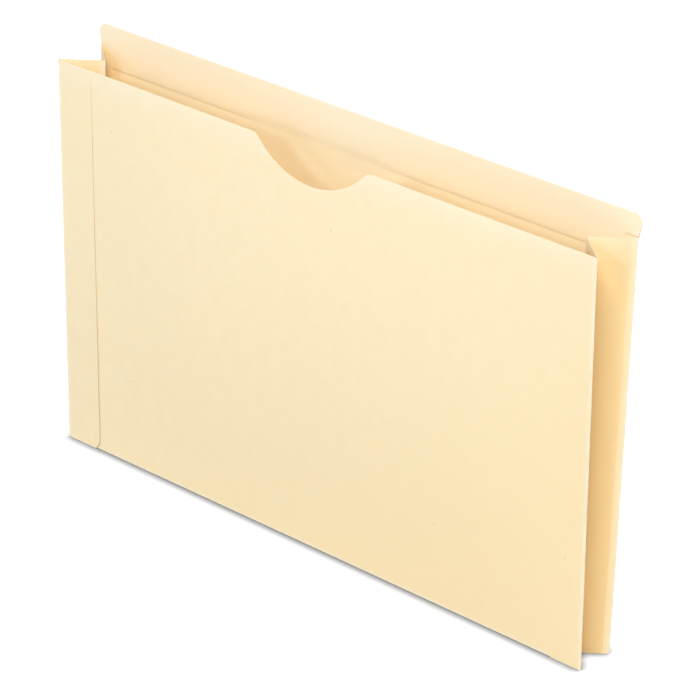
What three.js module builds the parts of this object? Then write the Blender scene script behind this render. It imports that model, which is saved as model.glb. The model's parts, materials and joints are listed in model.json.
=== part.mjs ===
// File jacket: one manila board folded and glued into a pocket with V gussets.
// Millimetres, +Z up. The front panel faces -Y, and +X is on its right.
// The origin is on the floor, under the middle of the bounding box.
import * as THREE from 'three';

// Driving sizes
const WIDTH = 374.65; // panels, from side crease to side crease
const FRONT_HEIGHT = 228.6; // front panel and gussets
const TAB_HEIGHT = 12.7; // how far the back panel stands above the front as a tab
const BOARD = 0.28; // thickness of the manila board
const GLUE = 0.05; // thickness of a dried glue film
const GUSSET_TOP = 25.4; // width of a half gusset at its top
const GUSSET_FOOT = 18.3; // width of a half gusset on the floor
const REST_FOLD = 38.3; // degrees that a half gusset stands off its panel in the photo pose

// Thumb notch in the front panel
const NOTCH_RADIUS = 50;
const NOTCH_DEPTH = 18.7;
const NOTCH_SHOULDER = 7; // radius where the notch meets the top edge

// Tab, plies and flaps
const TAB_CORNER = 5.5; // radius of the tab's two corners
const TAB_OVERHANG = 1.2; // how far the tab's splayed sides stand past each side crease
const PLY_OVERLAP = 11.8; // how far the tab's reinforcing ply reaches below the front's top edge
const PLY_SHELF = 0.8; // how far above the gussets the ply widens to the tab's full width
const PLY_SIDE_INSET = 8; // below the tab, the ply stays clear of the folded gussets
const SIDE_FLAP_WIDTH = 25.4; // seam flap on the outside of the front panel
const BOTTOM_FLAP_HEIGHT = 25.4; // seam flap on the outside of the back panel
const BOTTOM_FLAP_INSET = 8;
const FLAP_TAPER = new THREE.Vector2(3, 5); // corner cut off each flap, along its end and its length

// Clearances
const CREASE_GAP = 0.4; // from a crease's line to the board on each side of it
const SEAM_GAP = 0.6; // the same, where the loop of panels is open under a glued flap
const CORNER_GAP = 8; // between the bottom gusset's ends and the side gussets, folded flat
const FILM_GAP = 0.01; // between a glue film and the boards that it holds

const BACK_HEIGHT = FRONT_HEIGHT + TAB_HEIGHT;
const PLY_HEIGHT = TAB_HEIGHT + PLY_OVERLAP;

const LEFT = -1;
const RIGHT = 1;
const X = new THREE.Vector3(1, 0, 0);
const Z = new THREE.Vector3(0, 0, 1);
const FRONT_OUTWARD = new THREE.Vector3(0, -1, 0);

// The three creases of a side gusset run together to one point below the jacket,
// so the panels open like a fan and every board stays flat while it turns.
const APEX_DROP = (FRONT_HEIGHT * GUSSET_FOOT) / (GUSSET_TOP - GUSSET_FOOT);
const TAPER_ANGLE = Math.atan(GUSSET_FOOT / APEX_DROP);
const FOLD = THREE.MathUtils.degToRad(REST_FOLD);
const OPENING = 2 * Math.asin(Math.sin(TAPER_ANGLE) * Math.sin(FOLD));

// The front panel stands upright and the back panel leans away from it by OPENING.
const BACK_UP = new THREE.Vector3(0, Math.sin(OPENING), Math.cos(OPENING));
const BACK_OUTWARD = new THREE.Vector3(0, Math.cos(OPENING), -Math.sin(OPENING));

// Directions of the plane half-way between the two panels
const MIDDLE_UP = new THREE.Vector3(0, Math.sin(OPENING / 2), Math.cos(OPENING / 2));
const MIDDLE_NORMAL = new THREE.Vector3(0, Math.cos(OPENING / 2), -Math.sin(OPENING / 2));

// Fold lines of one side gusset, with the back panel's inner face at y = 0 on the floor
function gussetDirections(side) {
  const inset = Math.acos(Math.cos(TAPER_ANGLE) / Math.cos(OPENING / 2));
  const middle = MIDDLE_UP.clone()
    .multiplyScalar(Math.cos(inset))
    .addScaledVector(X, -side * Math.sin(inset));
  const across = middle.clone().addScaledVector(BACK_UP, -middle.dot(BACK_UP)).normalize();
  const outward = new THREE.Vector3().crossVectors(BACK_UP, across).multiplyScalar(side).normalize();
  return { middle, across, outward };
}

// Inner depth of the pocket on the floor: two half gussets, each a board thick
function pocketDepth() {
  const { across, outward } = gussetDirections(RIGHT);
  const reach = across.clone().multiplyScalar(GUSSET_FOOT).addScaledVector(outward, BOARD);
  return -2 * reach.dot(MIDDLE_NORMAL) * Math.cos(OPENING / 2);
}

const DEPTH = pocketDepth();
const FOREMOST = -(BOARD + GLUE + BOARD);
const REARMOST = DEPTH + BACK_HEIGHT * Math.sin(OPENING) + BOARD * Math.cos(OPENING);
const FRONT_Y = -(FOREMOST + REARMOST) / 2; // inner face of the front panel
const BACK_Y = FRONT_Y + DEPTH; // inner face of the back panel, on the floor

function line(point, direction) {
  return { point, direction };
}

function atHeight({ point, direction }, height) {
  return point.clone().addScaledVector(direction, (height - point.z) / direction.z);
}

// The back crease, middle crease and front crease of one side gusset
function sideCreases(side) {
  const { middle, across, outward } = gussetDirections(side);
  const backFoot = new THREE.Vector3((side * WIDTH) / 2, BACK_Y, 0);
  const middleFoot = backFoot.clone()
    .addScaledVector(across, GUSSET_FOOT)
    .addScaledVector(outward, BOARD);
  const frontFoot = new THREE.Vector3((side * WIDTH) / 2, FRONT_Y, 0);
  return {
    back: line(backFoot, BACK_UP),
    middle: line(middleFoot, middle),
    front: line(frontFoot, Z),
    outward,
  };
}

// The bottom gusset folds up into the pocket, in step with the side gussets. Its front
// crease is a little higher than its back one, so that both are as far from the apex.
function bottomCreases() {
  const backFoot = new THREE.Vector3(0, BACK_Y, 0);
  const frontFoot = new THREE.Vector3(0, FRONT_Y, DEPTH * Math.tan(OPENING / 2));
  const span = backFoot.distanceTo(frontFoot);
  const half = (span / 2 - BOARD * Math.cos(FOLD)) / Math.sin(FOLD);
  const rise = half * Math.cos(FOLD) - BOARD * Math.sin(FOLD);
  const middleFoot = backFoot.clone().add(frontFoot).multiplyScalar(0.5)
    .addScaledVector(MIDDLE_UP, rise);
  return {
    back: line(backFoot, X),
    middle: line(middleFoot, X),
    front: line(frontFoot, X),
    half,
  };
}

// A board is an outline that is drawn on its first face and thickened along outward.
function board(name, outline, origin, across, outward, thickness, colour) {
  const up = new THREE.Vector3().crossVectors(outward, across);
  const geometry = new THREE.ExtrudeGeometry(outline, {
    depth: thickness,
    bevelEnabled: false,
    curveSegments: 20,
  });
  geometry.applyMatrix4(new THREE.Matrix4().makeBasis(across, up, outward).setPosition(origin));
  const material = new THREE.MeshStandardMaterial({ color: colour, roughness: 0.85 });
  const mesh = new THREE.Mesh(geometry, material);
  mesh.name = name;
  return mesh;
}

function polygon(points) {
  return new THREE.Shape(points.map(([x, y]) => new THREE.Vector2(x, y)));
}

// Front panel outline, from its bottom left corner
function frontOutline() {
  const half = WIDTH / 2;
  const right = half - CREASE_GAP;
  const centreY = FRONT_HEIGHT + NOTCH_RADIUS - NOTCH_DEPTH;
  const shoulderY = FRONT_HEIGHT - NOTCH_SHOULDER;
  const reach = NOTCH_RADIUS + NOTCH_SHOULDER;
  const shoulderX = Math.sqrt(reach ** 2 - (centreY - shoulderY) ** 2);
  const turn = Math.atan2(centreY - shoulderY, shoulderX);
  const outline = new THREE.Shape();
  outline.moveTo(-half, 0);
  outline.lineTo(right, 0);
  outline.lineTo(right, FRONT_HEIGHT);
  outline.lineTo(shoulderX, FRONT_HEIGHT);
  outline.absarc(shoulderX, shoulderY, NOTCH_SHOULDER, Math.PI / 2, Math.PI - turn, false);
  outline.absarc(0, centreY, NOTCH_RADIUS, -turn, Math.PI + turn, true);
  outline.absarc(-shoulderX, shoulderY, NOTCH_SHOULDER, turn, Math.PI / 2, false);
  outline.lineTo(-half, FRONT_HEIGHT);
  outline.closePath();
  return outline;
}

// Half width of the tab, whose sides splay out from the creases to its corners
function tabHalf(height) {
  const straight = BACK_HEIGHT - TAB_CORNER - FRONT_HEIGHT;
  return WIDTH / 2 + (TAB_OVERHANG * (height - FRONT_HEIGHT)) / straight;
}

// Back panel outline: the tab stands past the creases and has rounded corners.
function backOutline() {
  const half = WIDTH / 2;
  const tab = half + TAB_OVERHANG;
  const foot = BOARD * Math.tan(OPENING);
  const cornerY = BACK_HEIGHT - TAB_CORNER;
  const outline = new THREE.Shape();
  outline.moveTo(-half, foot);
  outline.lineTo(half, foot);
  outline.lineTo(half, FRONT_HEIGHT);
  outline.lineTo(tab, cornerY);
  outline.absarc(tab - TAB_CORNER, cornerY, TAB_CORNER, 0, Math.PI / 2, false);
  outline.absarc(-tab + TAB_CORNER, cornerY, TAB_CORNER, Math.PI / 2, Math.PI, false);
  outline.lineTo(-half, FRONT_HEIGHT);
  outline.closePath();
  return outline;
}

// Ply outline: as wide as the tab above the gussets, narrower between them
function plyOutline(margin) {
  const half = WIDTH / 2;
  const tab = half + TAB_OVERHANG - margin;
  const low = half - PLY_SIDE_INSET - margin;
  const foot = BACK_HEIGHT - PLY_HEIGHT + margin;
  const shelf = FRONT_HEIGHT + PLY_SHELF + margin;
  const shelfHalf = tabHalf(shelf) - margin;
  const top = BACK_HEIGHT - margin;
  const corner = TAB_CORNER;
  const outline = new THREE.Shape();
  outline.moveTo(-low, foot);
  outline.lineTo(low, foot);
  outline.lineTo(low, shelf);
  outline.lineTo(shelfHalf, shelf);
  outline.lineTo(tab, top - corner);
  outline.absarc(tab - corner, top - corner, corner, 0, Math.PI / 2, false);
  outline.absarc(-tab + corner, top - corner, corner, Math.PI / 2, Math.PI, false);
  outline.lineTo(-shelfHalf, shelf);
  outline.lineTo(-low, shelf);
  outline.closePath();
  return outline;
}

// Flap outline: a strip with its two free corners cut off
function flapOutline(start, end, width, margin) {
  const from = start + margin;
  const to = end - margin;
  const free = width - margin;
  return polygon([
    [margin, from],
    [free - FLAP_TAPER.x, from],
    [free, from + FLAP_TAPER.y],
    [free, to - FLAP_TAPER.y],
    [free - FLAP_TAPER.x, to],
    [margin, to],
  ]);
}

// A half side gusset lies between two creases and has its foot on the floor.
function sideHalf(name, from, to, outward, gapFrom, gapTo, colour) {
  const onFace = (crease, height, lift) => atHeight(crease, height).addScaledVector(outward, lift);
  const corners = [
    [onFace(from, 0, 0), onFace(to, 0, -BOARD)],
    [onFace(from, FRONT_HEIGHT, 0), onFace(to, FRONT_HEIGHT, -BOARD)],
  ];
  const edges = corners.map(([start, end]) => {
    const step = end.clone().sub(start).normalize();
    return [start.clone().addScaledVector(step, gapFrom), end.clone().addScaledVector(step, -gapTo)];
  });
  const origin = edges[0][0];
  const across = edges[0][1].clone().sub(origin).normalize();
  const up = new THREE.Vector3().crossVectors(outward, across);
  const drawn = [edges[0][0], edges[0][1], edges[1][1], edges[1][0]].map((corner) => {
    const reach = corner.clone().sub(origin);
    return [reach.dot(across), reach.dot(up)];
  });
  return board(name, polygon(drawn), origin, across, outward, BOARD, colour);
}

// The front half is the rear half, mirrored in the plane between the panels.
function mirrored(direction) {
  return direction.clone().addScaledVector(MIDDLE_NORMAL, -2 * direction.dot(MIDDLE_NORMAL));
}

function sideGusset(side, word, frontGap, colours) {
  const creases = sideCreases(side);
  const { back, middle, front, outward } = creases;
  return [
    sideHalf(`${word}_gusset_rear`, back, middle, outward, CREASE_GAP, CREASE_GAP, colours[0]),
    sideHalf(`${word}_gusset_front`, front, middle, mirrored(outward), frontGap, CREASE_GAP, colours[1]),
  ];
}

// A half bottom gusset is a strip with mitred ends, clear of both side gussets.
function bottomHalf(name, foot, lean, gapFrom, colour) {
  const { half } = bottomCreases();
  const up = MIDDLE_UP.clone().multiplyScalar(Math.cos(FOLD))
    .addScaledVector(MIDDLE_NORMAL, lean * Math.sin(FOLD));
  const outward = MIDDLE_UP.clone().multiplyScalar(-Math.sin(FOLD))
    .addScaledVector(MIDDLE_NORMAL, lean * Math.cos(FOLD));
  const across = new THREE.Vector3().crossVectors(up, outward);
  const end = (distance) => WIDTH / 2 - CORNER_GAP - distance;
  const far = half - CREASE_GAP;
  const outline = polygon([
    [-end(gapFrom), gapFrom],
    [end(gapFrom), gapFrom],
    [end(far), far],
    [-end(far), far],
  ]);
  return board(name, outline, foot.point, across, outward, BOARD, colour);
}

function bottomGusset() {
  const creases = bottomCreases();
  return [
    bottomHalf('bottom_gusset_rear', creases.back, -1, CREASE_GAP, '#edc684'),
    bottomHalf('bottom_gusset_front', creases.front, 1, SEAM_GAP, '#e9be78'),
  ];
}

// The seam flap of the left gusset, glued to the outside of the front panel
function sideSeam() {
  const origin = new THREE.Vector3(-WIDTH / 2, FRONT_Y - BOARD - FILM_GAP, 0);
  const film = flapOutline(0, FRONT_HEIGHT, SIDE_FLAP_WIDTH, 1.5);
  const flap = flapOutline(0, FRONT_HEIGHT, SIDE_FLAP_WIDTH, 0);
  const onFilm = origin.clone().addScaledVector(FRONT_OUTWARD, GLUE);
  return [
    board('left_flap_glue', film, origin, X, FRONT_OUTWARD, GLUE - FILM_GAP, '#d9c9a0'),
    board('left_glue_flap', flap, onFilm, X, FRONT_OUTWARD, BOARD - FILM_GAP, '#f9e6bb'),
  ];
}

// The seam flap of the bottom gusset, glued to the outside of the back panel
function bottomSeam() {
  const length = WIDTH - 2 * BOTTOM_FLAP_INSET;
  const origin = new THREE.Vector3(-length / 2, BACK_Y, 0)
    .addScaledVector(BACK_OUTWARD, BOARD + FILM_GAP)
    .addScaledVector(BACK_UP, CREASE_GAP);
  const across = X.clone().negate();
  const turn = (outline) => {
    const points = outline.getPoints().map(({ x, y }) => [-y, x]);
    return polygon(points);
  };
  const film = turn(flapOutline(0, length, BOTTOM_FLAP_HEIGHT, 1.5));
  const flap = turn(flapOutline(0, length, BOTTOM_FLAP_HEIGHT, 0));
  const onFilm = origin.clone().addScaledVector(BACK_OUTWARD, GLUE);
  return [
    board('bottom_flap_glue', film, origin, across, BACK_OUTWARD, GLUE - FILM_GAP, '#d9c9a0'),
    board('bottom_glue_flap', flap, onFilm, across, BACK_OUTWARD, BOARD - FILM_GAP, '#efd7a0'),
  ];
}

function tabPly() {
  const origin = new THREE.Vector3(0, BACK_Y, 0);
  const inward = BACK_OUTWARD.clone().negate();
  const onBack = origin.clone().addScaledVector(inward, FILM_GAP);
  const onFilm = origin.clone().addScaledVector(inward, GLUE + FILM_GAP);
  return [
    board('tab_ply_glue', plyOutline(1.5), onBack, X, inward, GLUE - FILM_GAP, '#d9c9a0'),
    board('tab_ply', plyOutline(0), onFilm, X, inward, BOARD - FILM_GAP, '#f6dda8'),
  ];
}

function panels() {
  const frontFoot = new THREE.Vector3(0, FRONT_Y, 0);
  const backFoot = new THREE.Vector3(0, BACK_Y, 0);
  const left = X.clone().negate();
  return [
    board('front_panel', frontOutline(), frontFoot, X, FRONT_OUTWARD, BOARD, '#fae9c0'),
    board('back_panel', backOutline(), backFoot, left, BACK_OUTWARD, BOARD, '#f2d698'),
  ];
}

const jacket = new THREE.Group();
jacket.name = 'file_jacket';
jacket.add(
  ...panels(),
  ...tabPly(),
  ...sideGusset(RIGHT, 'right', CREASE_GAP, ['#f0cd8c', '#eabf7a']),
  ...sideGusset(LEFT, 'left', SEAM_GAP, ['#efcb88', '#e8bd76']),
  ...sideSeam(),
  ...bottomGusset(),
  ...bottomSeam(),
);

// The crease lines, which are also the hinge lines of the moving boards
jacket.userData.creases = {
  right: sideCreases(RIGHT),
  left: sideCreases(LEFT),
  bottom: bottomCreases(),
};

export default jacket;
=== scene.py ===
# %% [markdown]
# # A manila file jacket in Blender
# A file jacket is a pocket for loose papers, folded from one sheet of manila board. It stands
# open on its bottom edges: a front panel with a thumb notch, a taller back panel whose top strip
# is the tab, and V gussets that let it grow when it is filled. The boards, their sizes and their
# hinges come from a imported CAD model. This script gives them rolled creases, paper and light.

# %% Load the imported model
import json
import math
import bpy
import numpy as np
from mathutils import Matrix, Vector


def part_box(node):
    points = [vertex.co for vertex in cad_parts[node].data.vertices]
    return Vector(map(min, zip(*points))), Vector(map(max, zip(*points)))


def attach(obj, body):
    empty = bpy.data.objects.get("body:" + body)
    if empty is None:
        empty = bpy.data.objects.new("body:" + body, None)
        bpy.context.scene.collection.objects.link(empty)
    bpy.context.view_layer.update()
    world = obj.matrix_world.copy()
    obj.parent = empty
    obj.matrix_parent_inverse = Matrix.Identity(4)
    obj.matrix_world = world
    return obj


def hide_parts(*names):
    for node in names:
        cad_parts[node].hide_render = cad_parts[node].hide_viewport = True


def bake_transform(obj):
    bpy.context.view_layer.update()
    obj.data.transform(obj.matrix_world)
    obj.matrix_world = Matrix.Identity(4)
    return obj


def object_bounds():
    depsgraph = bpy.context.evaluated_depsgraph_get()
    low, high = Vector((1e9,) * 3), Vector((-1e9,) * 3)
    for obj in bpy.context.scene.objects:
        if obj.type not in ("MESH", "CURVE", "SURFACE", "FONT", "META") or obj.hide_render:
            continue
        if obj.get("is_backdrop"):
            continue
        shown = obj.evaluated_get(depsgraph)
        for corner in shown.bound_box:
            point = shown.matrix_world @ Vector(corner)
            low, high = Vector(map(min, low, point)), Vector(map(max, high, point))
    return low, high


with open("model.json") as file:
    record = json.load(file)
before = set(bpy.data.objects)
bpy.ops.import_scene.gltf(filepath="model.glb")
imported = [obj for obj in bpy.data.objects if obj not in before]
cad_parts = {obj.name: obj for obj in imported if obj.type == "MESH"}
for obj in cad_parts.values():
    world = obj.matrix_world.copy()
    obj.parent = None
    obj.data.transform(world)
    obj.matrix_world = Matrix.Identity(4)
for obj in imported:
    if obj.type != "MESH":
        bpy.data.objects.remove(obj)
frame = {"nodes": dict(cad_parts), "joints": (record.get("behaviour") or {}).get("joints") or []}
cad_box = [list(map(float, corner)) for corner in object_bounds()]

# %% [markdown]
# ## Sizes
# Blender works in metres, so a named millimetre keeps the numbers readable. The places of the
# creases are read from the model's joints, because a crease is exactly a hinge: a point on its
# line and the line's direction. The script itself only writes the sizes of the board and, further
# down, those of small details.

# %% Sizes of the board
MM = 0.001
BOARD = 0.28 * MM
GLUE = 0.05 * MM
PANEL_ROLL = 0.50 * MM  # outer radius of a creased edge
SEAM_ROLL = 0.60 * MM  # the same where the board wraps around another one
WING = 3.0 * MM  # flat strip on each side of a roll
SIDE_FLAP_WIDTH = 25.4 * MM
BOTTOM_FLAP_HEIGHT = 25.4 * MM

# %% Crease lines, read from the joints
joints = {joint["name"]: joint for joint in frame["joints"]}


def crease_line(name):
    """A point on a crease and its direction, which are those of its hinge."""
    return Vector(joints[name]["pos_m"]), Vector(joints[name]["axis"]).normalized()


def at_height(line, height):
    point, direction = line
    return point + direction * ((height - point.z) / direction.z)


X, Y, Z = Vector((1, 0, 0)), Vector((0, 1, 0)), Vector((0, 0, 1))
BACK_FOOT, BACK_UP = crease_line("right_back_crease")
BACK_OUT = X.cross(BACK_UP) * -1
FRONT_FOOT, _ = crease_line("right_front_crease")
HALF_WIDTH = BACK_FOOT.x
FRONT_Y = FRONT_FOOT.y  # inner face of the front panel
FRONT_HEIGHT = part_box("front_panel")[1].z
print(f"panels {2 * HALF_WIDTH / MM:.2f} x {FRONT_HEIGHT / MM:.1f} mm, "
      f"back leans {math.degrees(math.asin(BACK_UP.y)):.2f} degrees")

# %% [markdown]
# ## Camera
# A long lens from the right and above, like the catalogue view that the jacket is known by. The
# place was worked out from the corners of the jacket, so it is written as a turn, a tilt and a
# distance from a point on the jacket, and the lens has no shift.

# %% Helper that puts things in the scene


def put_in_scene(name, data):
    made = bpy.data.objects.new(name, data)
    bpy.context.scene.collection.objects.link(made)
    return made


# %% Camera
VIEW_TURN, VIEW_TILT, VIEW_ROLL = (math.radians(angle) for angle in (42.62, 25.99, -0.42))
VIEW_POINT = Vector((13.1, 0, 115.6)) * MM
VIEW_DISTANCE = 1886 * MM
SENSOR = 36
LENS = 3611 / 700 * SENSOR  # 3611 pixels in a picture that is 700 pixels wide


def view_axes(turn, tilt, roll):
    """Right, up and backward directions of a camera turned to the right and tilted down."""
    level = math.cos(tilt)
    ahead = Vector((-math.sin(turn) * level, math.cos(turn) * level, -math.sin(tilt)))
    right = Vector((math.cos(turn), math.sin(turn), 0))
    down = ahead.cross(right)
    rolled_right = right * math.cos(roll) + down * math.sin(roll)
    rolled_up = right * math.sin(roll) - down * math.cos(roll)
    return rolled_right, rolled_up, -ahead


camera = put_in_scene("camera", bpy.data.cameras.new("camera"))
right, up, backward = view_axes(VIEW_TURN, VIEW_TILT, VIEW_ROLL)
turned = Matrix((right, up, backward)).transposed().to_4x4()
camera.matrix_world = Matrix.Translation(VIEW_POINT + backward * VIEW_DISTANCE) @ turned
camera.data.sensor_width = SENSOR
camera.data.lens = LENS
camera.data.clip_end = 50
bpy.context.scene.camera = camera
bpy.context.scene.view_settings.view_transform = "Standard"
print("camera at", [round(value, 3) for value in camera.matrix_world.translation])

# %% [markdown]
# ## Floor and light
# The floor is a plain pale sheet. Other surfaces see it as ordinary pale paper, which throws some
# light back up onto the board. To the camera it is a mix of that and a white glow, so that it
# reads as the white page of a catalogue and still holds a shadow. Board that stands on a table
# also has a fine dark line under it, where hardly any light gets in: ambient occlusion over a
# centimetre finds those places, wherever the part stands and whatever pose it is in.

# %% Helper that wires nodes


class Wiring:
    """Makes nodes in a tree and joins them, so that a recipe reads from top to bottom."""

    def __init__(self, tree):
        self.tree = tree

    def node(self, kind, **settings):
        made = self.tree.nodes.new(kind)
        for name, value in settings.items():
            setattr(made, name, value)
        return made

    def feed(self, socket, value):
        if isinstance(value, bpy.types.NodeSocket):
            self.tree.links.new(value, socket)
        elif value is not None:
            socket.default_value = value

    def math(self, operation, *values, clamp=False):
        made = self.node("ShaderNodeMath", operation=operation, use_clamp=clamp)
        for socket, value in zip(made.inputs, values):
            self.feed(socket, value)
        return made.outputs[0]

    def mapped(self, value, low, high, to_low, to_high, smooth=False):
        made = self.node("ShaderNodeMapRange")
        if smooth:
            made.interpolation_type = "SMOOTHSTEP"
        for socket, given in zip(made.inputs, (value, low, high, to_low, to_high)):
            self.feed(socket, given)
        return made.outputs[0]

    def mixed(self, factor, first, second):
        """A mix of two colours, each a socket or three numbers."""
        made = self.node("ShaderNodeMix", data_type="RGBA")
        self.feed(made.inputs["Factor"], factor)
        for name, colour in (("A", first), ("B", second)):
            self.feed(made.inputs[name], (*colour, 1) if isinstance(colour, tuple) else colour)
        return made.outputs["Result"]

    def seen_directly(self):
        """1 for rays that come from the camera or off a mirror, 0 for light that bounces."""
        path = self.node("ShaderNodeLightPath")
        direct = self.math("MAXIMUM", path.outputs["Is Camera Ray"], path.outputs["Is Glossy Ray"])
        return self.math("MAXIMUM", direct, path.outputs["Is Transmission Ray"])


# %% Floor
FLOOR_PALE = 0.50  # how much light the floor throws back
FLOOR_SEEN = 0.30  # the same where the camera looks at it, so that shadows stay dark enough
FLOOR_GLOW = 0.76  # white that no shadow takes away, near the object
GLOW_FADES = (0.25, 0.60)  # metres from the object's middle over which that grows to plain white
CONTACT = 7.5 * MM  # how far the dark line under the board spreads
CONTACT_OPEN = (0.45, 0.96)  # share of open sky at which that line is darkest, and at which it ends
CONTACT_DARK = 0.20
FLOOR_HALF = 6.0
FLOOR_DROP = 0.02 * MM


def floor_material():
    material = bpy.data.materials.new("floor_white")
    material.use_nodes = True
    material.node_tree.nodes.clear()
    w = Wiring(material.node_tree)
    seen = w.seen_directly()
    open_sky = w.node("ShaderNodeAmbientOcclusion", samples=8)
    open_sky.inputs["Distance"].default_value = CONTACT
    lit = w.mapped(open_sky.outputs["AO"], *CONTACT_OPEN, CONTACT_DARK, 1.0)
    spot = w.node("ShaderNodeTexCoord").outputs["Object"]
    away = w.node("ShaderNodeVectorMath", operation="LENGTH")
    w.feed(away.inputs[0], spot)
    glow = w.mapped(away.outputs["Value"], *GLOW_FADES, FLOOR_GLOW, 1.0, smooth=True)
    level = w.math("ADD", w.math("MULTIPLY", w.math("SUBTRACT", 1.0, seen), FLOOR_PALE),
                   w.math("MULTIPLY", w.math("MULTIPLY", seen, lit), FLOOR_SEEN))
    colour = w.node("ShaderNodeCombineColor")
    for socket in colour.inputs[:3]:
        w.feed(socket, level)
    pale = w.node("ShaderNodeBsdfDiffuse")
    w.feed(pale.inputs["Color"], colour.outputs[0])
    shine = w.node("ShaderNodeEmission")
    w.feed(shine.inputs["Strength"], w.math("MULTIPLY", w.math("MULTIPLY", seen, lit), glow))
    both = w.node("ShaderNodeAddShader")
    w.feed(both.inputs[0], pale.outputs[0])
    w.feed(both.inputs[1], shine.outputs[0])
    w.feed(w.node("ShaderNodeOutputMaterial").inputs["Surface"], both.outputs[0])
    return material


floor_mesh = bpy.data.meshes.new("floor")
floor_corners = [(x * FLOOR_HALF, y * FLOOR_HALF, -FLOOR_DROP)
                 for x, y in ((-1, -1), (1, -1), (1, 1), (-1, 1))]
floor_mesh.from_pydata(floor_corners, [], [(0, 1, 2, 3)])
floor_mesh.materials.append(floor_material())
floor = put_in_scene("floor", floor_mesh)
floor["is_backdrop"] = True
print("floor:", 2 * FLOOR_HALF, "metres wide")

# %% World
WORLD_LIGHT = 0.03


def world_light():
    """Soft white light from everywhere, and plain white where the camera sees past the floor."""
    world = bpy.data.worlds.new("studio")
    bpy.context.scene.world = world
    world.use_nodes = True
    world.node_tree.nodes.clear()
    w = Wiring(world.node_tree)
    sky = w.node("ShaderNodeBackground")
    w.feed(sky.inputs["Strength"], w.mapped(w.seen_directly(), 0.0, 1.0, WORLD_LIGHT, 1.0))
    w.feed(w.node("ShaderNodeOutputWorld").inputs["Surface"], sky.outputs[0])


world_light()

# %% [markdown]
# ## Lamps
# Soft lamps stand in a ring around the jacket. The key comes from high on the right. Low lamps in
# front reach into the notch and throw its soft edged shadow on the back panel. A lamp on the right
# behind lights the inside of the right gusset, and its light comes back warm from board to board.
# Another one, straight behind, lights the back panel. It stands so low that it doesn't shine into
# the open pocket. Together they light the front panel at about 1, where a colour renders as it is
# written.

# %% Lamps
LAMP_DISTANCE = 3.0
LIT_POINT = Vector((0, 0, 0.12))


def soft_lamp(name, turn, rise, size, power, colour=(1, 1, 1)):
    """A round lamp that aims at the jacket. turn goes to the right from the front, rise upwards."""
    turn, rise = math.radians(turn), math.radians(rise)
    level = math.cos(rise)
    away = Vector((math.sin(turn) * level, -math.cos(turn) * level, math.sin(rise)))
    lamp = bpy.data.lights.new(name, "AREA")
    lamp.shape = "DISK"
    lamp.size = size
    lamp.energy = power
    lamp.color = colour
    aimed = away.to_track_quat("Z", "Y").to_matrix().to_4x4()
    place = Matrix.Translation(LIT_POINT + away * LAMP_DISTANCE)
    put_in_scene(name, lamp).matrix_world = place @ aimed


soft_lamp("key_lamp", 35, 58, 1.3, 88, (0.97, 1.0, 1.07))
soft_lamp("low_lamp", 12, 28, 0.4, 13.5, (0.75, 1.0, 1.35))
soft_lamp("lowest_lamp", -10, 15, 0.8, 8, (0.95, 1.0, 1.3))
soft_lamp("left_lamp", -30, 50, 1.3, 7, (0.96, 1.0, 1.1))
soft_lamp("far_left_lamp", -72, 12, 1.3, 13.5, (1.05, 1.0, 1.1))
soft_lamp("side_lamp", 135, 25, 1.3, 46, (1.05, 1.0, 0.95))
soft_lamp("back_lamp", 180, 15, 1.3, 40, (0.96, 1.0, 1.1))

# %% [markdown]
# ## Manila board
# Manila is a smooth, buff coloured board. Close up it isn't even: the pulp dried in faint clouds
# a few millimetres across, short fibres lie in it in all directions, and here and there a speck
# of bark was left in. All of that is made from noise on Object coordinates, in metres, so every
# board of the jacket shares one pattern at its real scale. The tone drifts a little across the
# sheet, as painted light and shade: deeper low down on the right, a painted shade, and paler
# along the top, painted light. The gussets get a copy of the colour painted deeper, as painted
# shade. Creased edges are scuffed paler, which also paints the highlight that a rolled crease
# catches, and the faces of a cut are rough and a little darker, because there the loose fibres
# of the core show. Each mesh marks them with attributes called "edge" and "cut".

# %% Manila material
BUFF = (0.980, 0.802, 0.490)
BUFF_DEEP = (0.965, 0.757, 0.432)
# painted shade: the deeper colour that the lower right of the boards turns to
BUFF_PAINTED_SHADE = (0.970, 0.730, 0.375)
# scuffed edges, paler; on the creases this also paints the highlight that a roll catches
BUFF_SCUFFED_AND_HIGHLIGHT = (0.985, 0.870, 0.640)
# painted light: the paler colour along the top of the boards
BUFF_PAINTED_LIGHT = (0.985, 0.860, 0.620)
# the gussets' colours: the board's colour painted deeper, as painted shade
GUSSET_SHADED_BUFF = (0.965, 0.755, 0.395)
GUSSET_SHADED_DEEP = (0.950, 0.705, 0.345)
GUSSET_PAINTED_SHADE = (0.930, 0.665, 0.310)
CORE = (0.800, 0.600, 0.330)
BARK = (0.42, 0.29, 0.16)
CLOUD_SCALE, FIBRE_SCALE, GRAIN_SCALE = 110, 420, 3200  # features to a metre
CLOUD_SHARE, FIBRE_SHARE, GRAIN_SHARE = 0.42, 0.38, 0.20  # of what makes the tone deeper
# painted shade, darker low down on the right: metres down a slope to the right, and its share
LOW_RIGHT_SHADE_FROM, LOW_RIGHT_SHADE_TO, LOW_RIGHT_SHADE_MOST = -0.35, 0.12, 0.65  # metres down a slope to the right, share
LOW_RIGHT_SHADE_SLOPE = 1.4
# painted light, paler along the top: metres up the board, and its share
TOP_LIGHT_FROM, TOP_LIGHT_TO, TOP_LIGHT_MOST = 0.210, 0.238, 0.55  # metres up the board, share
SPECK_CELLS = 13  # to a metre
SPECK_CORE, SPECK_RIM = 0.0028, 0.0052  # radii in widths of a cell
SPECK_RARE, SPECK_DARK = 0.70, 0.85  # share of the cells without a speck, strength of the others


def new_material(name):
    """A material, its wiring, its shader and the place on the part that its pattern follows."""
    material = bpy.data.materials.new(name)
    material.use_nodes = True
    w = Wiring(material.node_tree)
    shader = material.node_tree.nodes["Principled BSDF"]
    return material, w, shader, w.node("ShaderNodeTexCoord").outputs["Object"]


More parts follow.
